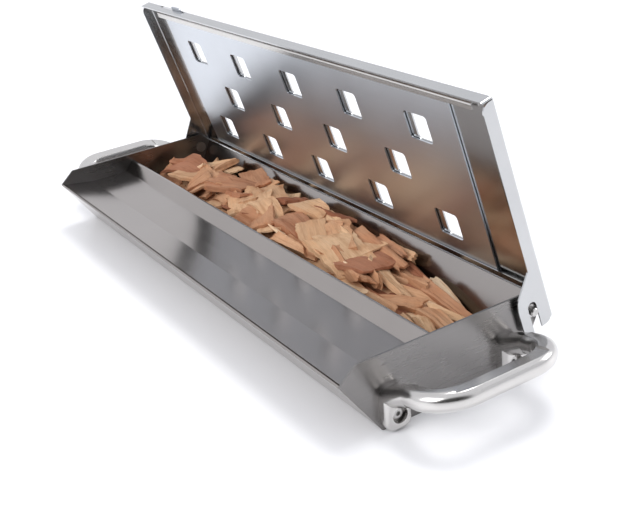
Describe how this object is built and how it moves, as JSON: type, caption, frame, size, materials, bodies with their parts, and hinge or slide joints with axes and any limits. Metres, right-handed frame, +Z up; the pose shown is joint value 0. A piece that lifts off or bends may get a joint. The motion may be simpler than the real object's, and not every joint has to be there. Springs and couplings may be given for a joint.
{
  "type": "grill smoker box",
  "caption": "Long stainless box that holds wood chips over a grill burner, with a shallow liquid pan, a hinged vented lid, a sliding damper and cast end handles.",
  "frame": {"origin": "middle of the tray's flat underside", "axes": "+X along the box towards its right end, +Y towards the hinge side, +Z up"},
  "size_m": [0.4098, 0.1116, 0.1309],
  "materials": {
    "stainless_sheet": "bright annealed, nearly mirror",
    "polished_casting": "cast and polished, satin on top",
    "turned_steel": "plain turned",
    "wood_chips": "rough, dry split wood"
  },
  "bodies": {
    "tray": {"end_plate_left": "stainless_sheet", "end_plate_right": "stainless_sheet", "handle_left": "polished_casting", "handle_nuts_left": "turned_steel", "handle_nuts_right": "turned_steel", "handle_right": "polished_casting", "handle_screws_left": "turned_steel", "handle_screws_right": "turned_steel", "handle_washers_left": "turned_steel", "handle_washers_right": "turned_steel", "hinge_stud_left": "turned_steel", "hinge_stud_right": "turned_steel", "liquid_pan": "stainless_sheet", "tray_shell": "stainless_sheet", "wood_chips": "wood_chips"},
    "lid": {"lid": "stainless_sheet", "slide_guide_front": "stainless_sheet", "slide_guide_rear": "stainless_sheet"},
    "slide": {"vent_slider": "stainless_sheet"}
  },
  "joints": [
    {"name": "lid_hinge", "type": "hinge", "parent": "tray", "child": "lid", "pos_m": [0, 0.0487, 0.027], "axis": [1, 0, 0], "range_deg": [0, 75]},
    {"name": "vent_slide", "type": "slide", "parent": "lid", "child": "slide", "axis": [1, 0, 0], "range_m": [-0.0158, 0.0042]}
  ]
}
